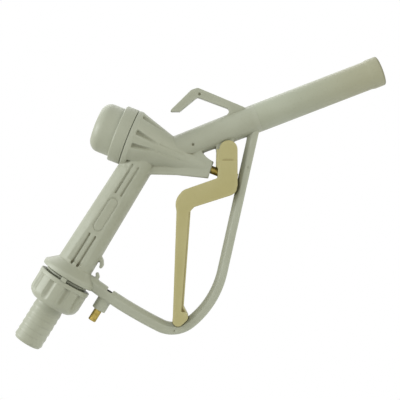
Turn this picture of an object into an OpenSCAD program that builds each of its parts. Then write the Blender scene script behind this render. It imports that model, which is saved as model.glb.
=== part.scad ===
// Manual fuel nozzle: a lever lifts a disc valve, with a swivel hose tail and a plain spout.
// Millimetres. +X runs along the spout and out of its tip, +Z is up and Y runs across.
// The origin is on the spout's axis, at the middle of the bead around its tip.

/* [Spout] */
// Outside diameter of the spout tube
spout_d = 25; // [24.5:0.1:25.5]
// Wall of the spout tube
spout_wall = 2.5; // [2:0.1:3]
// From the valve's axis to the middle of the tip bead
spout_reach = 193.7; // [170:0.5:260]
// How far the tip bead stands proud of the tube
bead_rise = 0.6; // [0.4:0.1:1]
// Length of the tip bead
bead_length = 10; // [8:0.5:14]

/* [Body] */
// Slope of the valve's axis below the spout's axis, in degrees
valve_angle = 42.5; // [42:0.1:43]
// Slope of the grip below the spout's axis, in degrees
grip_angle = 37; // [36.8:0.1:37.2]
// From the valve's axis back to where the grip's axis meets the spout's axis
grip_set = 27.4; // [27:0.1:28]
// Grip diameter near the valve
grip_d_top = 28; // [27.5:0.1:28.5]
// Grip diameter near the collar
grip_d_end = 32.4; // [32:0.1:33]
// Distance across the flats on the grip's sides
grip_flats = 27.6; // [27.2:0.1:27.8]
// Depth of the grooves in the grip's sides
groove_depth = 1.3; // [0.8:0.1:1.8]
// Collar diameter at the hose end of the grip
collar_d = 49.6; // [49:0.1:50]
// Bore of the grip
grip_bore_d = 19.6; // [18:0.1:19.8]

/* [Valve] */
// Diameter of the flange that the cap closes on
flange_d = 50; // [49.4:0.1:50.4]
// Diameter of the cap's dome
dome_d = 43.8; // [43.4:0.1:44.4]
// Rounding of the dome's edge
dome_round = 9; // [7:0.5:10]
// Bore of the valve's seat
seat_d = 19; // [18:0.1:19.4]
// Diameter of the valve stem
stem_d = 7; // [6.9:0.02:7.06]
// Running clearance around the stem
stem_clearance = 0.05; // [0.03:0.01:0.08]
// Wire of the valve spring
spring_wire = 1.6; // [1.2:0.1:1.8]
// Turns of the valve spring
spring_turns = 8; // [6:0.5:9]

/* [Trigger] */
// Overall width of the trigger
trigger_w = 22; // [21.6:0.1:23]
// Thickness of the trigger's side cheeks
cheek = 3; // [2.6:0.1:3]
// Swing of the trigger from rest to the latch, in degrees
swing = 24; // [23.8:0.1:24]
// Diameter of the pivot pin
pivot_d = 5; // [4:0.1:6]

/* [Guard and hook] */
// Width of the guard across the nozzle
guard_w = 15; // [14.4:0.1:15.2]
// Thickness of the guard where it leaves the neck
limb_t = 9; // [8.6:0.1:9.4]
// Thickness of the guard's rail under the grip
rail_t = 11; // [10.6:0.1:11.4]
// Width of the bevel along the guard's inner edges
guard_bevel = 3.7; // [2.5:0.1:4]
// Width of the hanging hook across the nozzle
hook_w = 12; // [10:0.5:14]

/* [Latch] */
// Diameter of the latch pin's shank
latch_d = 5; // [4.6:0.1:5.2]
// Diameter of the latch pin's push button
button_d = 7; // [6.8:0.05:7.05]
// Push stroke of the latch pin
latch_stroke = 6; // [5.5:0.1:6]

/* [Hose end] */
// Diameter over the hose tail's barbs
tail_d = 26.2; // [26:0.1:26.6]
// Length of the hose tail outside the nut
tail_length = 39; // [34:0.5:60]
// Number of barbs on the hose tail
barb_count = 6; // [4:1:7]
// Diameter over the union nut's lobes
nut_d = 47; // [46.6:0.1:47.6]
// Number of lobes around the union nut
nut_lobes = 10; // [8:1:11]

/* [Hidden] */
$fn = 96;

// Colours
grey = [0.72, 0.70, 0.62];
ivory = [0.86, 0.81, 0.58];
gold = [0.80, 0.62, 0.22];
steel = [0.75, 0.76, 0.78];
black = [0.08, 0.08, 0.08];

// Gaps between pieces that only meet
butt = 0.02;
seat_gap = 0.05;
free_gap = 0.3;

// Spout and neck, measured along X from the valve's axis
spout_r = spout_d / 2;
neck_end = 84;
neck_r_near = 11.3;
neck_r_far = spout_r;
neck_bore_r = 9;
spigot_start = 62;
spigot_r = 10.6;

// Valve, measured up its axis from the spout's axis
seat_c = 8;
chamber_r = 17.5;
chamber_c = 24;
joint_c = 35.6;
flange_c = 31;
throat_r = 21;
throat_c = 45.8;
cap_seal_r = throat_r - 1.45;
housing_skin = [[-25, 8.9], [-17, 10.3], [-12, 12], [-6, 13.2], [0, 14.9], [30.4, 24.3]];
guide_c = -40.5;
guide_r = 7.3;
gland_r = 5.2;
gland_c = -33;
stem_r = stem_d / 2;
stem_end_c = -52;
stem_dome_r = 4;
disc_c = seat_c + 2.1;
disc_top = disc_c + 5.9;
disc_r = 12.4;
spring_r = disc_r - 3.8;
rim_top = 46.8;
cap_top = 66.6;
cap_wall = 3.6;
cap_start = joint_c + 0.4;
spring_top = cap_top - cap_wall;

// Grip, measured down its axis
flare_g = 103.4;
collar_end = 115.5;
collar_g = collar_end - 4.8;
stub_r = 18;
stub_end = collar_end + 14;
stub_bore_r = 11.7;
stub_bore_g = collar_end + 5.5;
nut_start = collar_end + 3.5;
nut_end = nut_start + 25;
tail_spigot_r = stub_bore_r - 0.1;
tail_groove_r = tail_spigot_r - 1.25;
tail_seal_g = stub_bore_g + 5;
barb_depth = 0.5;
washer_r = stub_r - 1.2;
tail_end = nut_end + tail_length;

// Trigger pivot and the guard's curves, in the side plane from the valve's axis
pivot = [50.1, -16.7];
head_r = 7.9;
lug_r = 10.7;
inner_half = trigger_w / 2 - cheek;
limb_slope = 56.3;
limb_out = 73.6;
bend_out = 82;
bend_drop = 71.3;
heel_out = 30;
rail_mid = -141.4;
rail_gap = 156.9;
rail_back = 230;
rail_c = pivot - rail_back * [cos(rail_mid), sin(rail_mid)];
rail_out = rail_back + rail_gap + rail_t;
limb_in = limb_out - limb_t;
limb_n = [sin(limb_slope), -cos(limb_slope)];
bend_c = [(limb_out - bend_out - bend_drop * cos(limb_slope)) / limb_n[0], -bend_drop];
span = norm(rail_c - bend_c);
span_u = (rail_c - bend_c) / span;
heel_far = rail_out - heel_out;
heel_near = bend_out - heel_out;
heel_a = (heel_near * heel_near + span * span - heel_far * heel_far) / (2 * span);
heel_h = sqrt(heel_near * heel_near - heel_a * heel_a);
heel_c = bend_c + heel_a * span_u + heel_h * [span_u[1], -span_u[0]];
bend_end = atan2(heel_c[1] - bend_c[1], heel_c[0] - bend_c[0]);
heel_end = atan2(heel_c[1] - rail_c[1], heel_c[0] - rail_c[0]);
rail_end = -148.5;
limb_length = 132;
guard_edge = 1.5;

// Latch, measured down its own axis, which runs beside the grip
latch_drop = 37.7;
latch_tip = 106.6;
latch_r = latch_d / 2;
latch_well_g = 109.5;
latch_well_r = 4.3;
boss_end = 126;
boss_r = 6.2;
bush_g = 123;
button_end = 137;
slot_half = 6;
shoulder_g = bush_g - 1.8;

// Placing
module at_valve() {
  translate([-spout_reach, 0, 0])
    rotate([0, valve_angle - 90, 0])
      children();
}

module at_grip() {
  translate([-spout_reach - grip_set, 0, 0])
    rotate([0, -90 - grip_angle, 0])
      children();
}

module at_spout() {
  translate([-spout_reach, 0, 0])
    rotate([0, 90, 0])
      children();
}

module at_latch() {
  at_grip()
    translate([-latch_drop, 0, 0])
      children();
}

module side_plane() {
  translate([-spout_reach, 0, 0])
    rotate([90, 0, 0])
      children();
}

module plate(width, at = 0) {
  translate([0, at, 0])
    side_plane()
      linear_extrude(width, center = true)
        children();
}

// A point of the side plane, given up the valve's axis and across it
function across_valve(c, p) = [
  sin(valve_angle) * p - cos(valve_angle) * c,
  sin(valve_angle) * c + cos(valve_angle) * p
];

function arc(c, r, a0, a1, n = 12) = [
  for (i = [0 : n]) c + r * [cos(a0 + (a1 - a0) * i / n), sin(a0 + (a1 - a0) * i / n)]
];

// The outline of a bar that runs from one rounded end to another
module bar(a, ra, b, rb, n = 12) {
  d = norm(b - a);
  way = atan2(b[1] - a[1], b[0] - a[0]);
  lean = acos((ra - rb) / d);
  polygon(concat(arc(a, ra, way + lean, way + 360 - lean, n), arc(b, rb, way - lean, way + lean, n)));
}

module ring(r_in, r_out, z0, z1) {
  translate([0, 0, z0])
    difference() {
      cylinder(h = z1 - z0, r = r_out);
      translate([0, 0, -1])
        cylinder(h = z1 - z0 + 2, r = r_in);
    }
}

module torus(r, section, z) {
  translate([0, 0, z])
    rotate_extrude()
      translate([r, 0])
        circle(r = section, $fn = 32);
}

// A round bar between two points, from one radius to another
module rod(a, b, ra, rb) {
  v = b - a;
  translate(a)
    rotate([0, acos(v[2] / norm(v)), atan2(v[1], v[0])])
      cylinder(h = norm(v), r1 = ra, r2 = rb, $fn = 32);
}

// One coiled wire from z0 to z1, as a single tube
function coil_at(t, r, w, z0, z1, turns) = [
  r * cos(360 * turns * t),
  r * sin(360 * turns * t),
  z0 + w + (z1 - z0 - 2 * w) * t
];

module coil(r, wire, z0, z1, turns) {
  w = wire / 2;
  steps = ceil(turns * 16);
  sides = 8;
  centres = [for (i = [0 : steps]) coil_at(i / steps, r, w, z0, z1, turns)];
  points = [
    for (i = [0 : steps])
      let (a = 360 * turns * i / steps)
        for (k = [0 : sides - 1])
          let (b = 360 * k / sides)
            centres[i] + w * [cos(b) * cos(a), cos(b) * sin(a), sin(b)]
  ];
  skin = [
    for (i = [0 : steps - 1])
      for (k = [0 : sides - 1])
        let (j = (k + 1) % sides)
          [i * sides + k, (i + 1) * sides + k, (i + 1) * sides + j, i * sides + j]
  ];
  first = [for (k = [0 : sides - 1]) k];
  last = [for (k = [sides - 1 : -1 : 0]) steps * sides + k];
  echo(coil_gap = (z1 - z0 - wire) / turns - wire);
  polyhedron(points, concat(skin, [first], [last]));
}

// Outer form of the neck, between the valve and the spout
module neck_form(grow = 0) {
  at_spout()
    cylinder(h = neck_end, r1 = neck_r_near + grow, r2 = neck_r_far + grow);
}

// Outer form of the grip and its collar
module grip_form(grow = 0) {
  r_top = grip_d_top / 2 + grow;
  r_end = grip_d_end / 2 + grow;
  r_collar = collar_d / 2 + grow;
  at_grip()
    rotate_extrude()
      polygon([
        [0, -8], [r_top, -8], [r_end, flare_g], [r_collar - 0.5, collar_g], [r_collar, collar_g + 0.6],
        [r_collar, collar_end - 0.6 + grow], [r_collar - 0.6, collar_end + grow], [0, collar_end + grow]
      ]);
}

module slot(length, width) {
  square([length - width, width], center = true);
  for (s = [-1, 1])
    translate([s * (length - width) / 2, 0])
      circle(d = width, $fn = 32);
}

// Cuts in one side of the grip: two grooves at each end and a plain oval outline between
module grip_cuts() {
  depth = grip_flats / 2 - groove_depth;
  at_grip()
    for (s = [-1, 1])
      scale([1, s, 1]) {
        translate([-30, grip_flats / 2, -4])
          cube([60, 10, flare_g + 1]);
        for (q = [-2.8, 2.8]) {
          translate([q, depth, 17])
            rotate([-90, 90, 0])
              linear_extrude(10)
                slot(30, 2);
          translate([q, depth, 87.5])
            rotate([-90, 90, 0])
              linear_extrude(10)
                slot(31, 2.2);
        }
        translate([0, grip_flats / 2 - 0.75 * groove_depth, 52])
          rotate([-90, 90, 0])
            linear_extrude(10)
              difference() {
                slot(33.4, 9.6);
                slot(30.6, 6.8);
              }
      }
}

module grip_shape() {
  difference() {
    grip_form();
    grip_cuts();
  }
}

// Outer form of the valve housing and the guide of the stem
module housing_form() {
  f = flange_d / 2;
  at_valve()
    rotate_extrude()
      polygon([
        [0, guide_c], [guide_r - 0.6, guide_c], [guide_r, guide_c + 0.6], each [for (q = housing_skin) [q[1], q[0]]],
        [f, flange_c], [f, joint_c - 0.4], [f - 0.4, joint_c], [throat_r, joint_c], [throat_r, throat_c],
        [0, throat_c]
      ]);
}

// A point on the housing's skin, given up its axis and turned from the side
function on_skin(c, turn) = let (r = lookup(c, housing_skin)) [r * sin(turn), r * cos(turn), c];

// Tapered pockets below the flange, and the shallow grooves that run on from them to the guide
module housing_cuts() {
  at_valve()
    intersection() {
      union()
        for (side = [0, 180])
          for (k = [-1, 1]) {
            rod(on_skin(32, side + 15.3 * k), on_skin(10, side + 10 * k), 2.4, 0.7);
            rod(on_skin(8.6, side + 10 * k), on_skin(-12, side + 13 * k), 0.8, 0.8);
            rod(on_skin(-11, side + 13 * k), on_skin(-24, side + 14 * k), 0.7, 0.6);
            rod(on_skin(32, side + 60 * k), on_skin(9, side + 62 * k), 3.3, 0.6);
          }
      translate([0, 0, -60])
        cylinder(h = 60 + flange_c - 0.8, r = 40);
    }
}

module housing_shape() {
  difference() {
    housing_form();
    housing_cuts();
  }
}

// Web in the side plane that joins the stem's guide to the grip and the neck
module gusset() {
  low = across_valve(guide_c - 0.6, -8);
  high = across_valve(guide_c + 0.6, 6.5);
  plate(2 * inner_half - 1)
    polygon([[-22, -12], [0, -21], low, high, [30, -16], [27, -8], [0, 0], [-16, 4]]);
}

module lug_form() {
  plate(2 * (inner_half - 0.4)) {
    translate(pivot)
      circle(r = 7);
    translate([pivot[0] - 7, pivot[1]])
      square([14, 9]);
    translate(pivot)
      intersection() {
        circle(r = lug_r);
        translate([-lug_r - 1, -lug_r - 1])
          square([lug_r + 1, 2 * lug_r + 2]);
      }
  }
}

module clip_curl() {
  plate(8) {
    bar([-87.8, -60.3], 1.7, [-87.2, -67.2], 1.7);
    bar([-87.2, -67.2], 1.7, [-88.4, -70.8], 1.6);
    bar([-88.4, -70.8], 1.6, [-89.8, -72], 1.4);
  }
}

module valve_body() {
  color(grey)
    difference() {
      union() {
        housing_shape();
        grip_shape();
        neck_form();
        gusset();
        lug_form();
        clip_curl();
        at_grip()
          rotate_extrude()
            polygon(concat(
              [[0, collar_end - 1], [stub_r - 1, collar_end - 1]],
              [for (i = [0 : 4]) each [
                [stub_r - 1, collar_end + 1.5 + 2.5 * i], [stub_r, collar_end + 2.2 + 2.5 * i],
                [stub_r, collar_end + 2.8 + 2.5 * i], [stub_r - 1, collar_end + 3.5 + 2.5 * i]
              ]],
              [[stub_r - 1, stub_end], [0, stub_end]]
            ));
      }
      at_valve()
        rotate_extrude()
          polygon([
            [0, throat_c + 1], [chamber_r, throat_c + 1], [chamber_r, chamber_c], [13.8, seat_c],
            [seat_d / 2, seat_c], [seat_d / 2, -8], [4.5, -14], [stem_r + stem_clearance, -14],
            [stem_r + stem_clearance, gland_c], [gland_r, gland_c], [gland_r, guide_c - 1],
            [0, guide_c - 1]
          ]);
      at_valve()
        ring(cap_seal_r - 0.95, cap_seal_r + 0.95, throat_c - 1.6, throat_c + 1);
      at_grip() {
        translate([0, 0, -10])
          cylinder(h = stub_bore_g + 11, d = grip_bore_d);
        translate([0, 0, stub_bore_g])
          cylinder(h = stub_end - stub_bore_g + 1, r = stub_bore_r);
      }
      at_spout() {
        translate([0, 0, 4])
          cylinder(h = spigot_start, r = neck_bore_r);
        translate([0, 0, spigot_start])
          cylinder(h = neck_end - spigot_start + 1, r = spigot_r + butt);
      }
      for (s = [-1, 1])
        plate(6, s * (inner_half - 0.3 + 3))
          translate(pivot)
            circle(r = head_r + 0.5);
      plate(40)
        translate(pivot)
          circle(r = pivot_d / 2 + butt / 2);
      plate(2, -11)
        translate([23, -2])
          circle(r = 1.3, $fn = 32);
    }
}

module spout_tube() {
  tip = spout_reach + bead_length / 2;
  bore = spout_r - spout_wall;
  color(grey)
    at_spout()
      difference() {
        rotate_extrude()
          polygon(concat(
            [
              [neck_bore_r, spigot_start + 0.1], [spigot_r - 0.4, spigot_start + 0.1],
              [spigot_r, spigot_start + 0.6], [spigot_r, neck_end + butt], [spout_r, neck_end + butt],
              [spout_r, tip - bead_length - 2], [spout_r + bead_rise, tip - bead_length]
            ],
            arc([spout_r + bead_rise - 2, tip - 2], 2, 0, 90, 6),
            [[bore + 0.6, tip], [bore, tip - 0.8], [bore, neck_end + 6], [neck_bore_r, neck_end + 2]]
          ));
        ring(spigot_r - 1, spigot_r + 1, spigot_start + 6, spigot_start + 8);
      }
}

module spout_o_ring() {
  color(black)
    at_spout()
      torus(spigot_r - 0.49, 0.49, spigot_start + 7);
}

module hanging_hook() {
  color(grey)
    difference() {
      union() {
        plate(hook_w) {
          bar([76, 8.6], 3, [43, 39], 3.9);
          bar([43, 39], 3.9, [39.5, 39], 4.1);
          bar([39.5, 39], 4.1, [18, 30.8], 3.1);
        }
        plate(hook_w)
          polygon(concat(arc([59.7, 15.3], 3.1, -90, 47.4), [[70, 14], [72, 8], [59.7, 8]]));
      }
      neck_form(butt);
      plate(hook_w + 2)
        polygon([[8, 34.6], [29, 26.5], [24, 12], [4, 20]]);
      for (k = [-1, 1])
        plate(2, k * hook_w / 2)
          translate([44, 37])
            circle(r = 1.3, $fn = 32);
    }
}

// Stations round one curve of the guard's outer face: a point, the way out and a thickness
function stations(c, r, a0, a1, t0, t1, n) = [
  for (i = [1 : n])
    let (a = a0 + (a1 - a0) * i / n, out = [cos(a), sin(a)])
      [c + r * out, out, t0 + (t1 - t0) * i / n]
];

// The guard runs along a straight limb, a bend, a heel and a rail
limb_way = [cos(limb_slope), sin(limb_slope)];
limb_foot = bend_c + bend_out * limb_n;
mid_t = (limb_t + rail_t) / 2;
guard_path = concat(
  [[limb_foot + limb_length * limb_way, limb_n, limb_t], [limb_foot, limb_n, limb_t]],
  stations(bend_c, bend_out, limb_slope - 90, bend_end, limb_t, mid_t, 14),
  stations(heel_c, heel_out, bend_end, heel_end, mid_t, rail_t, 14),
  stations(rail_c, rail_out, heel_end, rail_end, rail_t, rail_t, 12)
);

// Side outline of the guard, grown inwards by a gap
module strap_side(gap) {
  polygon(concat(
    [for (s = guard_path) s[0] + 20 * s[1]],
    [for (i = [len(guard_path) - 1 : -1 : 0]) guard_path[i][0] - (guard_path[i][2] + gap) * guard_path[i][1]]
  ));
}

// The guard's strap: one bevelled section carried along its path
module strap() {
  path = guard_path;
  h = guard_w / 2;
  edge = h - guard_bevel - 0.2;
  function section(t) = [
    [-t, -edge], [guard_bevel - t, -h], [-guard_edge, -h], [0, guard_edge - h],
    [0, h - guard_edge], [-guard_edge, h], [guard_bevel - t, h], [-t, edge]
  ];
  sides = 8;
  last = len(path) - 1;
  points = [
    for (s = path)
      for (q = section(s[2]))
        let (v = s[0] + q[0] * s[1])
          [v[0], q[1], v[1]]
  ];
  skin = [
    for (i = [0 : last - 1])
      for (k = [0 : sides - 1])
        let (j = (k + 1) % sides)
          [i * sides + k, i * sides + j, (i + 1) * sides + j, (i + 1) * sides + k]
  ];
  start = [for (k = [sides - 1 : -1 : 0]) k];
  end = [for (k = [0 : sides - 1]) last * sides + k];
  translate([-spout_reach, 0, 0])
    polyhedron(points, concat(skin, [start], [end]));
}

module trigger_guard() {
  color(grey)
    difference() {
      union() {
        strap();
        at_latch()
          translate([0, 0, latch_well_g + 1])
            cylinder(h = boss_end - latch_well_g - 1, r = boss_r);
        plate(8) {
          bar([-101, -81], 2, [-95.4, -79.4], 1.5);
          bar([-95.4, -79.4], 1.5, [-94.9, -76.3], 1.3);
        }
      }
      neck_form(butt);
      at_spout()
        translate([0, 0, neck_end - 1])
          cylinder(h = 20, r = spout_r + butt);
      grip_form(butt);
      at_latch() {
        translate([0, 0, latch_tip - 6])
          cylinder(h = 12, r = latch_r + 0.05);
        translate([0, 0, latch_well_g])
          cylinder(h = 30, r = latch_well_r);
        translate([-latch_r, -slot_half, latch_tip - 10])
          cube([latch_d, 2 * slot_half, 11]);
      }
      for (p = [[60, -37.5], [-50, -146.3]])
        plate(2, -guard_w / 2)
          translate(p)
            circle(r = 1.3, $fn = 32);
    }
}

module valve_cap() {
  d = dome_d / 2;
  f = flange_d / 2;
  inner = d - cap_wall;
  color(grey)
    at_valve()
      rotate_extrude()
        polygon(concat(
          [
            [0, spring_top - 3], [6.2, spring_top - 3], [6.5, spring_top - 2.7], [6.5, spring_top]
          ],
          arc([inner - 4, spring_top - 4], 4, 90, 0, 8),
          [
            [inner, throat_c + 0.25], [throat_r + free_gap, throat_c + 0.25],
            [throat_r + free_gap, cap_start], [f - 0.5, cap_start], [f, cap_start + 0.5],
            [f, rim_top - 0.8], [f - 0.8, rim_top], [d, rim_top]
          ],
          arc([d - dome_round, cap_top - dome_round], dome_round, 0, 90, 14),
          [[0, cap_top]]
        ));
}

module cap_o_ring() {
  color(black)
    at_valve()
      torus(cap_seal_r, 0.9, throat_c - 0.68);
}

module valve_spring() {
  color(steel)
    at_valve()
      coil(spring_r, spring_wire, disc_top + seat_gap, spring_top - seat_gap, spring_turns);
}

module poppet_disc() {
  color(grey)
    at_valve()
      rotate_extrude()
        polygon([
          [3.03, seat_c + 0.4], [8.6, seat_c + 0.4], [8.6, disc_c], [disc_r, disc_c], [disc_r, disc_top - 2],
          [disc_r - 2, disc_top], [6, disc_top], [6, disc_top + 3], [3.03, disc_top + 3]
        ]);
}

module poppet_seal() {
  color(black)
    at_valve()
      ring(8.62, disc_r - 0.1, seat_c + 0.03, disc_c - butt);
}

module poppet_nut() {
  color(gold)
    at_valve()
      translate([0, 0, disc_top + 3 + butt])
        difference() {
          cylinder(h = 3.4, r = 5.6, $fn = 6);
          translate([0, 0, -1])
            cylinder(h = 6, r = 3.03);
        }
}

module valve_stem() {
  edge = asin(stem_r / stem_dome_r);
  color(gold)
    at_valve()
      rotate_extrude()
        polygon(concat(
          [[0, stem_end_c]],
          [for (i = [1 : 6]) [
            stem_dome_r * sin(edge * i / 6), stem_end_c + stem_dome_r * (1 - cos(edge * i / 6))
          ]],
          [
            [stem_r, seat_c - 4], [5, seat_c - 4], [5, seat_c + 0.4 - butt], [3, seat_c + 0.4 - butt],
            [3, disc_top + 7], [2.5, disc_top + 7.5], [0, disc_top + 7.5]
          ]
        ));
}

module stem_o_rings() {
  color(black)
    at_valve()
      for (i = [0, 1])
        torus((stem_r + stem_clearance + gland_r) / 2, (gland_r - stem_r - stem_clearance) / 2 - 0.02,
          gland_c - 0.95 - 1.75 * i);
}

module packing_gland() {
  color(gold)
    at_valve()
      ring(stem_r + stem_clearance, gland_r - butt, guide_c + 0.2, gland_c - 3.6);
}

// Side outline of the trigger: head, bridge, arm and foot
head_step = 0.6;
knee = [3, -44];
knee_c = [3.4, -50];
knee_r = 14;
elbow = [37.9, -45.6];
arm_top = [-5.2, -51];
arm_end = [-43.4, -135.8];
foot_heel = [-43.7, -139.2];
foot_toe = [-38.3, -137.6];
head_way = (elbow - pivot) / norm(elbow - pivot);
head_across = [head_way[1], -head_way[0]];
flange_out = 10.3;
flange_run = 18;

module guard_side(gap) {
  d = limb_in - gap;
  way = [cos(limb_slope), sin(limb_slope)];
  polygon([d * limb_n - 150 * way, d * limb_n + 150 * way, (d + 60) * limb_n + 150 * way,
    (d + 60) * limb_n - 150 * way]);
}

module trigger_face() {
  difference() {
    union() {
      bar(pivot, head_r, elbow, 8.9);
      bar(elbow, 9, knee, 8.5);
      polygon(concat(arc(knee_c, knee_r, 88, 182), [[2.5, -53]]));
      bar(knee, 8.5, arm_top, 5.8);
      bar(arm_top, 5.5, arm_end, 3.5);
      bar(foot_heel, 4.9, foot_toe, 4.3);
    }
    guard_side(-0.8);
  }
}

// Thin flange along the head's edge, towards the stem
module head_flange() {
  polygon([
    pivot, pivot + flange_out * head_across, pivot + flange_out * head_across + (flange_run - 3) * head_way,
    pivot + (head_r - 0.5) * head_across + flange_run * head_way, pivot + flange_run * head_way
  ]);
}

module trigger_web() {
  difference() {
    union() {
      bar([48.4, -33], 2.2, [43.4, -46.6], 2.6);
      bar([43.4, -46.6], 2.6, [37.6, -51.8], 2.6);
      bar([37.6, -51.8], 2.6, [0, -50], 2.4);
      bar([0, -50], 2.4, [-37, -129.4], 2.1);
      polygon([
        across_valve(stem_end_c - 0.1, -3.5), across_valve(stem_end_c - 0.1, 5),
        across_valve(-67, 5), across_valve(-67, -3.5)
      ]);
    }
    guard_side(free_gap + 0.1);
  }
  intersection() {
    union() {
      bar(foot_heel, 4.9, [-40.8, -130.5], 3.4);
      bar(foot_heel, 4.9, foot_toe, 4.3);
      bar([-37, -129.4], 2.1, foot_toe, 4.3);
    }
    translate(pivot)
      circle(r = rail_gap - 0.5);
  }
}

module trigger_core() {
  difference() {
    trigger_web();
    strap_side(0.5);
  }
}

module trigger() {
  color(ivory)
    difference() {
      union() {
        for (s = [-1, 1])
          plate(cheek, s * (inner_half + cheek / 2))
            trigger_face();
        for (s = [-1, 1])
          plate(1.4, s * (inner_half + 0.9))
            head_flange();
        plate(2 * inner_half + 0.2)
          trigger_core();
      }
      plate(trigger_w - 2.4)
        translate(pivot)
          circle(r = pivot_d / 2 + 0.06);
      for (s = [-1, 1])
        plate(2 * head_step, s * trigger_w / 2)
          polygon([[30, -20], [40, -23.8], [50.7, -27.9], [62, -32], [66, 0], [30, 0]]);
      translate([pivot[0] - spout_reach, 0, pivot[1]])
        rotate([0, -swing, 0])
          translate([spout_reach - pivot[0], 0, -pivot[1]])
            at_latch()
              translate([0, 0, latch_tip - latch_stroke - 0.8])
                cylinder(h = 14, r = latch_r + 0.5);
    }
}

module trigger_pin() {
  color(steel)
    plate(trigger_w - 2.8)
      translate(pivot)
        circle(r = pivot_d / 2);
}

module latch_pin() {
  b = button_d / 2;
  color(gold)
    at_latch()
      rotate_extrude()
        polygon([
          [0, latch_tip], [latch_r - 0.6, latch_tip], [latch_r, latch_tip + 0.6], [latch_r, shoulder_g],
          [latch_well_r - 0.2, shoulder_g], [latch_well_r - 0.2, bush_g - 0.1], [b, bush_g - 0.1],
          [b, button_end - 0.8], [b - 0.8, button_end], [0, button_end]
        ]);
}

module latch_spring() {
  color(steel)
    at_latch()
      coil(latch_r + 0.75, 0.7, latch_well_g + seat_gap, shoulder_g - seat_gap, 4.5);
}

module latch_bush() {
  color(gold)
    at_latch()
      ring(button_d / 2 + 0.1, latch_well_r - butt, bush_g, boss_end);
}

module union_nut() {
  r = nut_d / 2;
  color(grey)
    at_grip()
      difference() {
        rotate_extrude()
          polygon([
            [stub_r + free_gap, nut_start], [r - 0.3, nut_start], [r + 0.3, nut_start + 0.6],
            [r + 0.3, nut_start + 3.4], [r, nut_start + 3.8], [r, nut_end - 6.5], [r - 1.6, nut_end - 3.2],
            [r - 4.6, nut_end - 0.8], [r - 6, nut_end], [tail_d / 2 + 0.4, nut_end],
            [tail_d / 2 + 0.4, nut_end - 8.5], [stub_r + free_gap, nut_end - 8.5]
          ]);
        for (i = [0 : nut_lobes - 1])
          rotate([0, 0, 360 * i / nut_lobes])
            translate([r + 3.3, 0, nut_start + 4.4])
              cylinder(h = 30, r = 5, $fn = 48);
      }
}

module lock_ring() {
  color(grey)
    at_grip()
      union() {
        ring(stub_r + 0.1, stub_r + 1.6, collar_end + 0.9, nut_start - 0.7);
        translate([-2.5, -collar_d / 2, collar_end + butt])
          cube([5, collar_d / 2 - stub_r - 0.6, nut_start - collar_end - 2 * butt]);
      }
}

module swivel_washer() {
  color(black)
    at_grip()
      ring(stub_bore_r + 0.6, washer_r, stub_end + butt, stub_end + 1.7);
}

module hose_tail() {
  r = tail_d / 2;
  g0 = stub_end + 1.75;
  pitch = (tail_length - 4) / barb_count;
  color(grey)
    at_grip()
      difference() {
        rotate_extrude()
          polygon(concat(
            [
              [9, stub_bore_g + 1], [tail_spigot_r - 0.4, stub_bore_g + 1],
              [tail_spigot_r, stub_bore_g + 1.4], [tail_spigot_r, g0],
              [washer_r, g0], [washer_r, nut_end - 8.8], [r - 0.3, nut_end - 8.8], [r - 0.3, nut_end + 1]
            ],
            [for (i = [0 : barb_count - 1])
              let (g = nut_end + 2 + pitch * i)
                each [[r - barb_depth, g], [r, g + pitch - 2.2], [r, g + pitch - 0.5]]],
            arc([r - 2.4, tail_end - 1.6], 1.6, 0, 90, 6),
            [[9, tail_end]]
          ));
        ring(tail_groove_r, tail_groove_r + 2.65, tail_seal_g - 1, tail_seal_g + 1);
      }
}

module tail_o_ring() {
  color(black)
    at_grip()
      torus(tail_groove_r + 0.68, 0.65, tail_seal_g);
}

valve_body();
spout_tube();
spout_o_ring();
hanging_hook();
trigger_guard();
valve_cap();
cap_o_ring();
valve_spring();
poppet_disc();
poppet_seal();
poppet_nut();
valve_stem();
stem_o_rings();
packing_gland();
trigger();
trigger_pin();
latch_pin();
latch_spring();
latch_bush();
union_nut();
lock_ring();
swivel_washer();
hose_tail();
tail_o_ring();
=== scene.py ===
"""Manual fuel nozzle in grey moulded plastic, with a cream trigger and brass pins."""
import math

import bmesh
import bpy
from mathutils import Matrix, Vector


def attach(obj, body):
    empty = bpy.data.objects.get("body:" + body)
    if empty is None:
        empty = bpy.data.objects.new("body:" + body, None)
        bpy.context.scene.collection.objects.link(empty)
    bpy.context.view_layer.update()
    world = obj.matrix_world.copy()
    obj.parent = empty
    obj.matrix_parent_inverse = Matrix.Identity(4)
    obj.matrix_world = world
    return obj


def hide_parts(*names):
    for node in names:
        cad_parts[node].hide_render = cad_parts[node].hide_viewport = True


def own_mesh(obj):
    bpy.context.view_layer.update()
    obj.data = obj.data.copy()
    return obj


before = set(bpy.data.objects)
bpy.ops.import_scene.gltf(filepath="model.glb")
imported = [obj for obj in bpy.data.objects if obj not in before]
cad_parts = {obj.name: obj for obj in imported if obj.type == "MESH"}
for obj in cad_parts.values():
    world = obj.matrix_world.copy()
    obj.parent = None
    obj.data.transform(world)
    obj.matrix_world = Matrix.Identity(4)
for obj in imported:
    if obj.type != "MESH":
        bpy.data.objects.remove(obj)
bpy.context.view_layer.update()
scene = bpy.context.scene

MM = 0.001

# The nozzle's own axes, in the row frame
REACH = 193.7 * MM
GRIP_SET = 27.4 * MM
LATCH_DROP = 37.7 * MM
VALVE_SLOPE = math.radians(42.5)
GRIP_SLOPE = math.radians(37)


def side_frame(origin, along, across):
    """A frame in the side plane whose Z runs along one of the nozzle's axes and whose X runs across it."""
    z, x = Vector(along), Vector(across)
    place = Matrix((x, z.cross(x), z)).transposed().to_4x4()
    place.translation = origin
    return place


GRIP_WAY = Vector((-math.cos(GRIP_SLOPE), 0, -math.sin(GRIP_SLOPE)))
GRIP_ACROSS = Vector((-math.sin(GRIP_SLOPE), 0, math.cos(GRIP_SLOPE)))
GRIP_START = Vector((-REACH - GRIP_SET, 0, 0))

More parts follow.
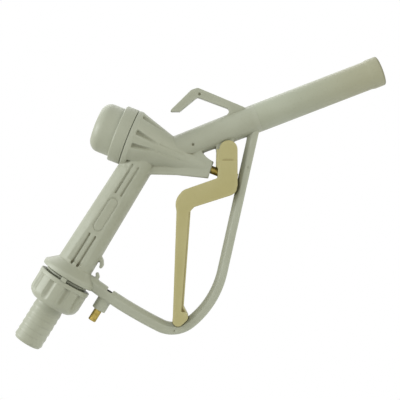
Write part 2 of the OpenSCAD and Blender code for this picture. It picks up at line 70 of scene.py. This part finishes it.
AT_SPOUT = side_frame((-REACH, 0, 0), (1, 0, 0), (0, 0, -1))
AT_VALVE = side_frame(
    (-REACH, 0, 0),
    (-math.cos(VALVE_SLOPE), 0, math.sin(VALVE_SLOPE)),
    (math.sin(VALVE_SLOPE), 0, math.cos(VALVE_SLOPE)),
)
AT_GRIP = side_frame(GRIP_START, GRIP_WAY, GRIP_ACROSS)
AT_LATCH = side_frame(GRIP_START - LATCH_DROP * GRIP_ACROSS, GRIP_WAY, GRIP_ACROSS)


# Shader maths

class Value:
    """A shader socket that takes part in Python arithmetic."""

    def __init__(self, nodes, socket):
        self.nodes = nodes
        self.socket = socket

    def math(self, operation, a, b):
        return self.nodes.node("Math", {"operation": operation}, {0: a, 1: b})

    def __add__(self, other):
        return self.math("ADD", self, other)

    def __sub__(self, other):
        return self.math("SUBTRACT", self, other)

    def __rsub__(self, other):
        return self.math("SUBTRACT", other, self)

    def __mul__(self, other):
        return self.math("MULTIPLY", self, other)

    __radd__ = __add__
    __rmul__ = __mul__


class Nodes:
    """A tree of shader nodes, and the one way in which nodes are added to it."""

    def __init__(self, tree):
        self.tree = tree

    def node(self, kind, settings=None, inputs=None, output=0):
        made = self.tree.nodes.new("ShaderNode" + kind)
        for key, value in (settings or {}).items():
            setattr(made, key, value)
        for key, value in (inputs or {}).items():
            self.feed(made.inputs[key], value)
        return Value(self, made.outputs[output])

    def feed(self, socket, value):
        if isinstance(value, Value):
            self.tree.links.new(value.socket, socket)
        else:
            socket.default_value = value


class Finish(Nodes):
    """A material with its shader and the patterns that it is made of."""

    def __init__(self, name, slot):
        self.slot = slot
        self.material = bpy.data.materials.new(name)
        self.material.use_nodes = True
        super().__init__(self.material.node_tree)
        self.shader = self.tree.nodes["Principled BSDF"]

    def coords(self):
        return self.node("TexCoord", output="Object")

    def set(self, **inputs):
        for key, value in inputs.items():
            self.feed(self.shader.inputs[key.replace("_", " ").title()], value)

    def place(self, scale=(1, 1, 1), turn=(0, 0, 0)):
        """Object coordinates, turned and stretched for a pattern."""
        return self.node("Mapping", None, {"Vector": self.coords(), "Rotation": turn, "Scale": scale})

    def noise(self, where, size, detail=2.0, roughness=0.5):
        """Noise whose blotches are about size mm across."""
        return self.node("TexNoise", None, {
            "Vector": where, "Scale": 1 / (size * MM), "Detail": detail, "Roughness": roughness,
        })

    def steps(self, value, low, high, to_low=0.0, to_high=1.0):
        """A smooth rise from to_low to to_high while value goes from low to high."""
        return self.node("MapRange", {"interpolation_type": "SMOOTHSTEP"}, {
            "Value": value, "From Min": low, "From Max": high, "To Min": to_low, "To Max": to_high,
        })

    def blend(self, factor, a, b):
        """A mix of two colours."""
        return self.node("Mix", {"data_type": "RGBA"}, {0: factor, 6: a, 7: b}, output=2)

    def bump(self, height, strength, distance):
        return self.node("Bump", None, {"Height": height, "Strength": strength, "Distance": distance * MM})


def shade(red, green, blue):
    """A colour as it is seen, from 0 to 255, in the shader's linear light."""
    def linear(c):
        c /= 255
        return c / 12.92 if c <= 0.04045 else ((c + 0.055) / 1.055) ** 2.4
    return (linear(red), linear(green), linear(blue), 1.0)


# Where hands keep hollows cleaner, with less grime and painted shade, on the housing and the upper grip: along X,
# then up Z, in metres
HANDLED_FROM = (-0.275, -0.225)
HANDLED_TO = (-0.185, -0.2)
HANDLED_UP = (-0.09, -0.06)
HANDLED_CLEAN = 0.45
# Where the spout yellows towards its tip, and where its rounded rim is darkened with painted shade, along X in
# metres
YELLOWED = (-0.075, 0.012)
TIP_RIM_SHADE = (0.0027, 0.0047)
# Height above its surroundings, in mm, from which an edge is rubbed pale
RUBBED_EDGE = (-0.05, -0.4)
PLASTIC_IOR = 1.49
PLASTIC_SHEEN = 0.4


def moulded_plastic(name, slot, body, pale, grime_and_shade, gloss, deep, aged=None):
    """Moulded plastic: faint clouding, a fine skin grain, rubbed edges, grime and painted shade in hollows, and
    light scuffs.
    Grime and painted shade darken hollows between the two depths in deep, in mm.
    With aged, the plastic yellows to that colour towards the spout's tip, and its rim is darkened with painted
    shade."""
    finish = Finish(name, slot)
    where = finish.place()
    along = finish.node("SeparateXYZ", None, {0: finish.coords()}, output="X")
    height = finish.node("SeparateXYZ", None, {0: finish.coords()}, output="Z")
    clouds = finish.noise(where, 38, 3)
    speckle = finish.noise(where, 1.6, 2)
    grain = finish.noise(where, 0.5, 3, 0.6)
    scuffs = finish.noise(finish.place((1, 1, 0.06), (0.3, 0.9, 0.2)), 1.1, 2)
    scuff = finish.steps(scuffs, 0.66, 0.8) * finish.steps(clouds, 0.45, 0.65)
    hollow = finish.node("Attribute", {"attribute_name": "hollow"}, output="Fac")
    edge = finish.steps(hollow, *RUBBED_EDGE)
    handled = finish.steps(along, *HANDLED_FROM) * finish.steps(along, *HANDLED_TO)
    clean = handled * finish.steps(height, *HANDLED_UP, 0.0, HANDLED_CLEAN)
    dirt_and_shade = finish.steps(hollow, *deep) * finish.steps(speckle, 0.2, 0.6, 0.75, 1.0) * (1.0 - clean)
    tone = finish.blend(finish.steps(clouds, 0.3, 0.7, 0.0, 0.55), body, pale)
    if aged:
        tone = finish.blend(finish.steps(along + 0.02 * clouds, *YELLOWED, 0.0, 0.8), tone, aged)
        # Painted shade on the spout tip's rounded rim
        tone = finish.blend(finish.steps(along, *TIP_RIM_SHADE, 0.0, 0.6), tone, grime_and_shade)
    tone = finish.blend(finish.steps(speckle, 0.55, 0.8, 0.0, 0.1), tone, grime_and_shade)
    tone = finish.blend(edge * 0.35, tone, pale)
    # Grime and painted shade in hollows and creases, and the painted contact shadows on the guard
    tone = finish.blend(dirt_and_shade * 0.85, tone, grime_and_shade)
    tone = finish.blend(scuff * 0.25, tone, pale)
    finish.set(
        base_color=tone,
        roughness=gloss + 0.14 * clouds + 0.12 * scuff + 0.15 * dirt_and_shade,
        normal=finish.bump(grain, 0.22, 0.12),
    )
    finish.shader.inputs["IOR"].default_value = PLASTIC_IOR
    finish.shader.inputs["Specular IOR Level"].default_value = PLASTIC_SHEEN
    return finish


# Black for painted shade on the latch pin's tip
SHADE_BLACK = shade(34, 30, 22)
BLACK_RUBBER = shade(28, 28, 28)
RUBBER_BLOOM = shade(66, 65, 62)


def turned_metal(name, slot, colour, dull, rough, turn):
    """Turned metal: fine tool rings round its axis, a patchy dull film, and painted black shade where it is
    marked.
    """
    finish = Finish(name, slot)
    film = finish.noise(finish.place(), 4.5, 4, 0.6)
    rings = finish.noise(finish.place((0.03, 0.03, 1), turn), 0.22, 1)
    painted_shade = finish.node("Attribute", {"attribute_name": "painted_shade"}, output="Fac")
    tone = finish.blend(finish.steps(film, 0.35, 0.7, 0.0, 0.75), colour, dull)
    finish.set(
        base_color=finish.blend(painted_shade, tone, SHADE_BLACK),
        metallic=1.0 - painted_shade,
        roughness=rough + 0.2 * film + 0.1 * rings + 0.2 * painted_shade,
        normal=finish.bump(rings, 0.25, 0.08),
    )
    return finish


def moulded_rubber(name, slot):
    """Black sealing rubber with a bloom of pale dust."""
    finish = Finish(name, slot)
    where = finish.place()
    bloom = finish.noise(where, 3, 4, 0.6)
    finish.set(
        base_color=finish.blend(finish.steps(bloom, 0.4, 0.75, 0.0, 0.5), BLACK_RUBBER, RUBBER_BLOOM),
        roughness=0.55 + 0.25 * bloom,
        normal=finish.bump(finish.noise(where, 0.4, 2), 0.2, 0.06),
    )
    return finish


# Hollow depths, in mm, over which grime and painted shade darken the grey and the cream plastic, and the grey's
# darkening colour
GREY_DEEP = (0.22, 0.72)
CREAM_DEEP = (0.03, 0.3)
GREY_GRIME_AND_SHADE = shade(92, 88, 62)
GREY_GLOSS = 0.36
# The grip's and the latch's axes lie this far from the row frame's Z
GRIP_TURN = (0, GRIP_SLOPE - math.pi / 2, 0)
grey_plastic = moulded_plastic(
    "grey_plastic", "body_plastic", shade(158, 160, 142), shade(170, 173, 157), GREY_GRIME_AND_SHADE, GREY_GLOSS, GREY_DEEP)
spout_plastic = moulded_plastic(
    "spout_plastic", "body_plastic", shade(159, 162, 143), shade(171, 175, 158), GREY_GRIME_AND_SHADE, GREY_GLOSS, GREY_DEEP,
    aged=shade(158, 156, 130))
cream_plastic = moulded_plastic(
    "cream_plastic", "trigger_plastic", shade(167, 159, 109), shade(178, 171, 126), shade(108, 92, 46), 0.34,
    CREAM_DEEP)
grip_brass = turned_metal("brass", "brass", shade(178, 158, 86), shade(110, 96, 42), 0.34, GRIP_TURN)
spring_steel = turned_metal(
    "spring_steel", "steel", shade(196, 197, 199), shade(120, 119, 116), 0.22, (0, 0, 0))
seal_rubber = moulded_rubber("seal_rubber", "rubber")


# Modelling

MERGE = 0.01 * MM
FINE_MERGE = 0.001 * MM
LARGE_CORNER = 2
SHARP = math.radians(42)
HOLLOW_REACH = 2.2


def turned(profile, place, steps=112):
    """A turned form: (radius, height) or (radius, height, corner) in mm, its corners rounded, spun round Z."""
    bm = bmesh.new()
    corners = {}
    verts = []
    for radius, height, *corner in profile:
        vert = bm.verts.new((radius * MM, 0, height * MM))
        verts.append(vert)
        if corner:
            corners.setdefault(corner[0], []).append(vert)
    for pair in zip(verts, verts[1:]):
        bm.edges.new(pair)
    if verts[0].co.x > 0 or verts[-1].co.x > 0:
        bm.edges.new((verts[-1], verts[0]))
    for size, rounded in corners.items():
        bmesh.ops.bevel(
            bm, geom=rounded, offset=size * MM, offset_type="OFFSET", profile=0.5,
            segments=6 if size > LARGE_CORNER else 3, affect="VERTICES", material=-1, clamp_overlap=True,
        )
    bmesh.ops.spin(
        bm, geom=bm.verts[:] + bm.edges[:], cent=(0, 0, 0), axis=(0, 0, 1),
        angle=2 * math.pi, steps=steps, use_merge=True, use_duplicate=False,
    )
    bmesh.ops.remove_doubles(bm, verts=bm.verts[:], dist=FINE_MERGE)
    bmesh.ops.recalc_face_normals(bm, faces=bm.faces[:])
    bm.transform(place)
    return bm


def reworked(bm, kind, **settings):
    """The mesh after one modifier."""
    mesh = bpy.data.meshes.new("blank")
    bm.to_mesh(mesh)
    bm.free()
    blank = bpy.data.objects.new("blank", mesh)
    scene.collection.objects.link(blank)
    modifier = blank.modifiers.new("rework", kind)
    for key, value in settings.items():
        setattr(modifier, key, value)
    made = bpy.data.meshes.new_from_object(blank.evaluated_get(bpy.context.evaluated_depsgraph_get()))
    bpy.data.objects.remove(blank)
    bpy.data.meshes.remove(mesh)
    bm = bmesh.new()
    bm.from_mesh(made)
    bpy.data.meshes.remove(made)
    return bm


def merged(node):
    """A copy of a node's mesh with its loose triangles joined."""
    bm = bmesh.new()
    bm.from_mesh(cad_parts[node].data)
    bmesh.ops.remove_doubles(bm, verts=bm.verts[:], dist=MERGE)
    return bm


def moulded(node, voxel, passes, keep=1.0):
    """A node's form as it leaves a mould: merged, remeshed, and smoothed along its edges and inner corners.
    Then keep is the share of its triangles that stay."""
    bm = reworked(merged(node), "REMESH", mode="VOXEL", voxel_size=voxel * MM)
    soften(bm, passes)
    mark_hollows(bm, voxel)
    if keep < 1:
        bm = reworked(bm, "DECIMATE", ratio=keep)
    return bm


def soften(bm, passes):
    """Smooths a mesh a number of times over."""
    for _ in range(passes):
        bmesh.ops.smooth_vert(
            bm, verts=bm.verts[:], factor=0.5, use_axis_x=True, use_axis_y=True, use_axis_z=True)


def mark_hollows(bm, voxel):
    """Stores how far each point lies below (or above) the surface around it, in mm."""
    bm.normal_update()
    around = bm.copy()
    soften(around, int(4 * (HOLLOW_REACH / voxel) ** 2))
    hollow = bm.verts.layers.float.new("hollow")
    around.verts.ensure_lookup_table()
    for vert in bm.verts:
        vert[hollow] = (around.verts[vert.index].co - vert.co).dot(vert.normal) / MM
    around.free()


def add_piece(name, bm, body, node, finish):
    """Makes a piece from a mesh: it stands for a node and rides on that node's body."""
    mesh = bpy.data.meshes.new(name)
    bm.to_mesh(mesh)
    bm.free()
    mesh.shade_smooth()
    mesh.set_sharp_from_angle(angle=SHARP)
    mesh.materials.append(finish.material)
    piece = bpy.data.objects.new(name, mesh)
    scene.collection.objects.link(piece)
    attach(piece, body)
    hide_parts(node)
    return piece


# Moulded pieces
NECK_LENGTH = 84
NECK_NEAR_R = 11.3
NECK_FAR_R = 12.5
# How far smoothing has rounded the neck's end: along it, across it, and on its face
RIM_BAND = 3
RIM_LOSS = 0.9
RIM_OVER = 0.2
FACE_LOSS = 0.7


def square_neck(bm):
    """Brings the neck's rim back out to its full cone, so that the spout follows on without a step."""
    for vert in bm.verts:
        along = (vert.co.x + REACH) / MM
        radius = math.hypot(vert.co.y, vert.co.z) / MM
        cone = NECK_NEAR_R + (NECK_FAR_R - NECK_NEAR_R) * along / NECK_LENGTH
        if NECK_LENGTH - RIM_BAND < along and cone - RIM_LOSS < radius < cone + RIM_OVER:
            vert.co.yz *= cone / radius
            if NECK_LENGTH - FACE_LOSS < along:
                vert.co.x = NECK_LENGTH * MM - REACH


# Profiles that other pieces grow out of: (radius, height) along the neck and over the grip's flared collar
NECK = [(NECK_NEAR_R, 30), (NECK_FAR_R, NECK_LENGTH)]
COLLAR = [(16.2, 103.4), (24.3, 110.7), (24.8, 115.5)]
ROOT_REACH = 1.6
ROOT_DEPTH = 1.1


def sink_root(bm, place, profile):
    """Draws a piece's root into the profile that it grows out of, so that its rounded edge leaves no seam."""
    inverse = place.inverted()
    for vert in bm.verts:
        local = inverse @ vert.co
        height = local.z / MM
        radius = math.hypot(local.x, local.y) / MM
        for (low_r, low), (high_r, high) in zip(profile, profile[1:]):
            gap = radius - low_r - (high_r - low_r) * (height - low) / (high - low)
            if low <= height < high and gap < ROOT_REACH:
                local.xy *= 1 - ROOT_DEPTH * (1 - max(gap, 0) / ROOT_REACH) / radius
                vert.co = place @ local
                break


# Painted contact shadow of the lever on the guard: the hollow depth written along it, and how far it reaches
# inside the lever's outline, in mm
CONTACT_SHADOW_DEPTH = 0.8
CONTACT_SHADOW_UNDER = 0.6
# Where the lever's foot and elbow rest against the guard, a painted contact shadow: the two round ends of its
# outline (centre, radius), and the shadow's width
CONTACT_SHADOWS = [
    (Vector((-43.7, -139.2)), 4.9, Vector((-38.3, -137.6)), 4.3, 1.0),
    (Vector((42, -35.9)), 8.6, Vector((37.9, -45.6)), 9.0, 1.8),
]


def paint_contact_shadows(bm):
    """Paints a dark line of contact shadow on the guard along the lever's foot and its elbow, where they rest
    against it.
    """
    hollow = bm.verts.layers.float["hollow"]
    for vert in bm.verts:
        point = Vector((vert.co.x + REACH, vert.co.z)) / MM
        for start, start_r, end, end_r, width in CONTACT_SHADOWS:
            way = end - start
            share = min(max((point - start).dot(way) / way.length_squared, 0), 1)
            gap = (point - start - share * way).length - start_r - share * (end_r - start_r)
            if -CONTACT_SHADOW_UNDER < gap < width:
                vert[hollow] = CONTACT_SHADOW_DEPTH


body = moulded("valve_body", 0.55, 3, 0.36)
square_neck(body)
add_piece("body", body, "nozzle", "valve_body", grey_plastic)
guard = moulded("trigger_guard", 0.5, 7)
# Paints the lever's contact shadows on the guard
paint_contact_shadows(guard)
sink_root(guard, AT_SPOUT, NECK)
sink_root(guard, AT_GRIP, COLLAR)
add_piece("guard", guard, "nozzle", "trigger_guard", grey_plastic)
hook = moulded("hanging_hook", 0.4, 3)
sink_root(hook, AT_SPOUT, NECK)
add_piece("hook", hook, "nozzle", "hanging_hook", grey_plastic)
add_piece("lever", moulded("trigger", 0.42, 4, 0.85), "lever", "trigger", cream_plastic)
add_piece("tabbed_ring", moulded("lock_ring", 0.25, 4), "nozzle", "lock_ring", grey_plastic)

# Spout, measured along its axis from the valve's axis
SPOUT_R = 12.5
SPOUT_BORE = 10
BEAD_R = 13.1
SPIGOT_R = 10.6
SPIGOT_BORE = 9
SPIGOT_START = 62.1
SEAL_GROOVE = (68, 70)
NECK_END = 84.02
TIP = 198.7
add_piece("spout", turned([
    (SPIGOT_BORE, SPIGOT_START, 0.2), (SPIGOT_R, SPIGOT_START, 0.5),
    (SPIGOT_R, SEAL_GROOVE[0]), (SPIGOT_R - 1, SEAL_GROOVE[0]),
    (SPIGOT_R - 1, SEAL_GROOVE[1]), (SPIGOT_R, SEAL_GROOVE[1]),
    (SPIGOT_R, NECK_END), (SPOUT_R, NECK_END, 0.15), (SPOUT_R, TIP - 12, 2.5), (BEAD_R, TIP - 10, 1.8),
    (BEAD_R, TIP, 1.6), (SPOUT_BORE, TIP, 0.7), (SPOUT_BORE, 90, 2), (SPIGOT_BORE, 86, 2),
], AT_SPOUT), "nozzle", "spout_tube", spout_plastic)

# Cap, measured up the valve's axis
RIM_R = 25
RIM_TOP = 46.8
DOME_R = 21.9
DOME_ROUND = 9
CAP_TOP = 66.6
SKIRT_R = 21.3
SKIRT_FOOT = 36
CHAMBER_R = 18.3
CHAMBER_FOOT = 46.05
SPRING_SEAT = 63
SPRING_GUIDE_R = 6.5
SPRING_GUIDE_END = 60
add_piece("cap", turned([
    (0, SPRING_GUIDE_END), (SPRING_GUIDE_R, SPRING_GUIDE_END, 0.4), (SPRING_GUIDE_R, SPRING_SEAT),
    (CHAMBER_R, SPRING_SEAT, 4), (CHAMBER_R, CHAMBER_FOOT), (SKIRT_R, CHAMBER_FOOT), (SKIRT_R, SKIRT_FOOT),
    (RIM_R, SKIRT_FOOT, 0.5), (RIM_R, RIM_TOP, 0.9), (DOME_R, RIM_TOP, 0.6), (DOME_R, CAP_TOP, DOME_ROUND),
    (9, CAP_TOP), (0, CAP_TOP),
], AT_VALVE), "nozzle", "valve_cap", grey_plastic)

# Union nut, measured down the grip's axis
NUT_R = 23.5
NUT_START = 119
NUT_END = 144
NUT_THREAD_R = 18.3
NUT_MOUTH_R = 13.5
PLAIN_RIM = 4.4
NUT_STEPS = 400
LOBES = 10
SCALLOP_R = 5
SCALLOP_AT = NUT_R + 3.3
SCALLOP_SHADE = 0.25


def scallop(bm):
    """Presses finger scallops into the nut's side, between its lobes, above its plain rim, and marks their depth
    for painted shade.
    """
    hollow = bm.verts.layers.float.new("hollow")
    pitch = 2 * math.pi / LOBES
    for vert in bm.verts:
        if vert.co.z < (NUT_START + PLAIN_RIM) * MM:
            continue
        radius = math.hypot(vert.co.x, vert.co.y) / MM
        turn = (math.atan2(vert.co.y, vert.co.x) + pitch / 2) % pitch - pitch / 2
        offset = SCALLOP_AT * math.sin(turn)
        if abs(offset) < SCALLOP_R:
            wall = SCALLOP_AT * math.cos(turn) - math.sqrt(SCALLOP_R ** 2 - offset ** 2)
            if wall < radius:
                vert.co.xy *= wall / radius
                # Painted shade in the scallops, darker where they are deeper
                vert[hollow] = SCALLOP_SHADE * (radius - wall)


nut = turned([
    (NUT_THREAD_R, NUT_START, 0.2), (NUT_R + 0.3, NUT_START, 0.5), (NUT_R + 0.3, NUT_START + 3.6, 0.3),
    (NUT_R, NUT_START + 3.8), (NUT_R, NUT_START + PLAIN_RIM), (NUT_R, NUT_START + 12), (NUT_R, NUT_END - 6.5, 2),
    (NUT_R - 1.6, NUT_END - 3.2, 1.5), (NUT_R - 4.6, NUT_END - 0.8, 1.2), (NUT_R - 6, NUT_END, 0.5),
    (NUT_MOUTH_R, NUT_END, 0.3), (NUT_MOUTH_R, NUT_END - 8.5), (NUT_THREAD_R, NUT_END - 8.5),
], Matrix(), NUT_STEPS)
scallop(nut)
bmesh.ops.smooth_vert(
    nut, verts=nut.verts[:], factor=0.2, use_axis_x=True, use_axis_y=True, use_axis_z=False)
nut.transform(AT_GRIP)
add_piece("nut", nut, "nozzle", "union_nut", grey_plastic)

# Hose tail, measured down the grip's axis
TAIL_R = 13.1
TAIL_BORE = 9
TAIL_END = 183
TAIL_START = 122
TAIL_SPIGOT_R = 11.6
TAIL_GROOVE_R = 10.35
TAIL_GROOVE = (125, 127)
TAIL_FLANGE_R = 16.8
TAIL_FLANGE = (131.25, 135.2)
BARBS = 6
BARB_PITCH = 35 / BARBS
BARB_DEPTH = 0.5
barbs = []
for i in range(BARBS):
    start = NUT_END + 2 + BARB_PITCH * i
    barbs += [
        (TAIL_R - BARB_DEPTH, start, 0.2), (TAIL_R, start + BARB_PITCH - 2.2, 0.4),
        (TAIL_R, start + BARB_PITCH - 0.5, 0.2),
    ]
add_piece("tail_pipe", turned([
    (TAIL_BORE, TAIL_START), (TAIL_SPIGOT_R, TAIL_START, 0.4),
    (TAIL_SPIGOT_R, TAIL_GROOVE[0]), (TAIL_GROOVE_R, TAIL_GROOVE[0]),
    (TAIL_GROOVE_R, TAIL_GROOVE[1]), (TAIL_SPIGOT_R, TAIL_GROOVE[1]), (TAIL_SPIGOT_R, TAIL_FLANGE[0]),
    (TAIL_FLANGE_R, TAIL_FLANGE[0], 0.3), (TAIL_FLANGE_R, TAIL_FLANGE[1], 0.3),
    (TAIL_R - 0.3, TAIL_FLANGE[1]), (TAIL_R - 0.3, NUT_END + 1, 0.2),
    *barbs,
    (TAIL_R - 0.8, TAIL_END - 1.8, 0.3), (TAIL_R - 0.8, TAIL_END, 1.65), (TAIL_BORE, TAIL_END, 0.6),
], AT_GRIP), "tail", "hose_tail", grey_plastic)

# Brass stem, measured up the valve's axis
STEM_R = 3.5
STEM_TIP = -52
STEM_TOP = 23.5
STEM_THREAD_R = 3
STEM_COLLAR_R = 5
STEM_COLLAR = (4, 8.38)
PIN_STEPS = 64
add_piece("stem", turned([
    (0, STEM_TIP), (1.4, STEM_TIP + 0.1, 0.5), (STEM_R, STEM_TIP + 2.1, 0.6), (STEM_R, STEM_COLLAR[0]),
    (STEM_COLLAR_R, STEM_COLLAR[0], 0.3), (STEM_COLLAR_R, STEM_COLLAR[1]), (STEM_THREAD_R, STEM_COLLAR[1]),
    (STEM_THREAD_R, STEM_TOP, 0.5), (0, STEM_TOP),
], AT_VALVE, PIN_STEPS), "valve", "valve_stem", grip_brass)

# Latch pin, measured down the latch's axis; it is painted black as shade up to the height given, where its tip
# shows in the guard's slot
PIN_R = 2.5
PIN_TIP = 106.6
PIN_COLLAR_R = 4.1
PIN_COLLAR = (121.2, 122.9)
BUTTON_R = 3.5
BUTTON_END = 137
SHADED_UP_TO = 115
pin = turned([
    (0, PIN_TIP), (PIN_R, PIN_TIP, 0.6), (PIN_R, SHADED_UP_TO), (PIN_R, PIN_COLLAR[0]),
    (PIN_COLLAR_R, PIN_COLLAR[0], 0.2), (PIN_COLLAR_R, PIN_COLLAR[1], 0.2), (BUTTON_R, PIN_COLLAR[1]),
    (BUTTON_R, BUTTON_END, 0.7), (0, BUTTON_END),
], Matrix(), PIN_STEPS)
# The pin's tip, where it shows in the guard's slot, is painted black as shade
painted_shade = pin.verts.layers.float.new("painted_shade")
for vert in pin.verts:
    vert[painted_shade] = float(vert.co.z < (SHADED_UP_TO + 0.1) * MM)
pin.transform(AT_LATCH)
add_piece("pin", pin, "latch", "latch_pin", grip_brass)


def add_spring(name, node):
    """A spring as it is built, on its own copy of the mesh."""
    spring = add_piece(name, merged(node), "nozzle", node, spring_steel)
    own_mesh(spring)


add_spring("return_coil", "valve_spring")
add_spring("latch_coil", "latch_spring")

# Pieces that stay as they are built, most of them inside
INSIDE = {
    grip_brass: ["poppet_nut", "packing_gland", "latch_bush"],
    spring_steel: ["trigger_pin"],
    seal_rubber: ["spout_o_ring", "cap_o_ring", "poppet_seal", "stem_o_rings", "swivel_washer", "tail_o_ring"],
    grey_plastic: ["poppet_disc"],
}
for finish, nodes in INSIDE.items():
    for node in nodes:
        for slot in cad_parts[node].material_slots:
            slot.material = finish.material


# Studio

CAMERA_ROLL = math.radians(21.05)
VIEW_RIGHT = Vector((math.cos(CAMERA_ROLL), 0, -math.sin(CAMERA_ROLL)))
VIEW_UP = Vector((math.sin(CAMERA_ROLL), 0, math.cos(CAMERA_ROLL)))
LIGHT_ABOVE = (0.7, 0.72, 0.73, 1)
LIGHT_BELOW = (0.46, 0.45, 0.36, 1)


def surround_light(world):
    """Soft light from all round: cool from above in the picture, weaker and warmer from below. The camera, a
    gloss or a clear surface sees plain white in its place."""
    world.use_nodes = True
    nodes = Nodes(world.node_tree)
    way = nodes.node("TexCoord", output="Generated")
    height = nodes.node("VectorMath", {"operation": "DOT_PRODUCT"}, {0: way, 1: VIEW_UP}, output="Value")
    share = nodes.node("MapRange", None, {"Value": height, "From Min": -1})
    tint = nodes.node("Mix", {"data_type": "RGBA"}, {0: share, 6: LIGHT_BELOW, 7: LIGHT_ABOVE}, output=2)
    soft = nodes.node("Background", None, {"Color": tint})
    white = nodes.node("Background", None, {"Color": (1, 1, 1, 1)})
    seen = nodes.node("LightPath", output="Is Camera Ray")
    for ray in ("Is Glossy Ray", "Is Transmission Ray"):
        seen = seen.math("MAXIMUM", seen, nodes.node("LightPath", output=ray))
    mix = nodes.node("MixShader", None, {0: seen, 1: soft, 2: white})
    nodes.feed(nodes.tree.nodes["World Output"].inputs["Surface"], mix)


scene.world = bpy.data.worlds.new("studio")
surround_light(scene.world)

FLOOR_DROP = 0.42
FLOOR_R = 0.5
MIDDLE = Vector((-0.1822, 0, -0.0487))
disc = bmesh.new()
bmesh.ops.create_circle(disc, cap_ends=True, segments=128, radius=FLOOR_R)
bmesh.ops.translate(disc, verts=disc.verts[:], vec=MIDDLE - Vector((0, 0, FLOOR_DROP)))
floor_mesh = bpy.data.meshes.new("floor")
disc.to_mesh(floor_mesh)
disc.free()
floor = bpy.data.objects.new("floor", floor_mesh)
scene.collection.objects.link(floor)
paper = Finish("floor_paper", "")
fibres = paper.noise(paper.place(), 1.2, 3)
paper.set(
    base_color=paper.blend(fibres, shade(240, 240, 240), shade(247, 247, 247)),
    roughness=0.8,
    normal=paper.bump(fibres, 0.1, 0.05),
)
floor_mesh.materials.append(paper.material)


def area_lamp(name, place, size, watts, colour=(1, 1, 1)):
    """A square soft box that faces the nozzle."""
    light = bpy.data.lights.new(name, "AREA")
    light.shape = "SQUARE"
    light.size = size
    light.energy = watts
    light.color = colour
    lamp = bpy.data.objects.new(name, light)
    lamp.location = place
    lamp.rotation_euler = (MIDDLE - Vector(place)).to_track_quat("-Z", "Y").to_euler()
    scene.collection.objects.link(lamp)


area_lamp("side", (-2.1, -0.22, 1.2), 0.8, 29.0, (0.95, 0.98, 1.0))
area_lamp("front", (-0.35, -1.25, 0.3), 0.9, 1.7)
area_lamp("corner", (-1.3, -0.7, 0.75), 0.4, 3.6)
area_lamp("fill", (1.1, -0.75, 0.0), 0.9, 6.5, (1.0, 0.98, 0.86))
area_lamp("back", (-0.2, 0.9, 0.9), 0.9, 4.0)

# Camera: square on to the nozzle's side, rolled so that the spout points up to the right
CAMERA_DISTANCE = 1.075
VIEW_WIDTH = 0.348
SENSOR = 36
camera = bpy.data.cameras.new("camera")
camera.sensor_width = SENSOR
camera.lens = SENSOR * CAMERA_DISTANCE / VIEW_WIDTH
viewer = bpy.data.objects.new("camera", camera)
pose = Matrix((VIEW_RIGHT, VIEW_UP, Vector((0, -1, 0)))).transposed().to_4x4()
pose.translation = MIDDLE - Vector((0, CAMERA_DISTANCE, 0))
viewer.matrix_world = pose
scene.collection.objects.link(viewer)
scene.camera = viewer
scene.view_settings.view_transform = "Standard"
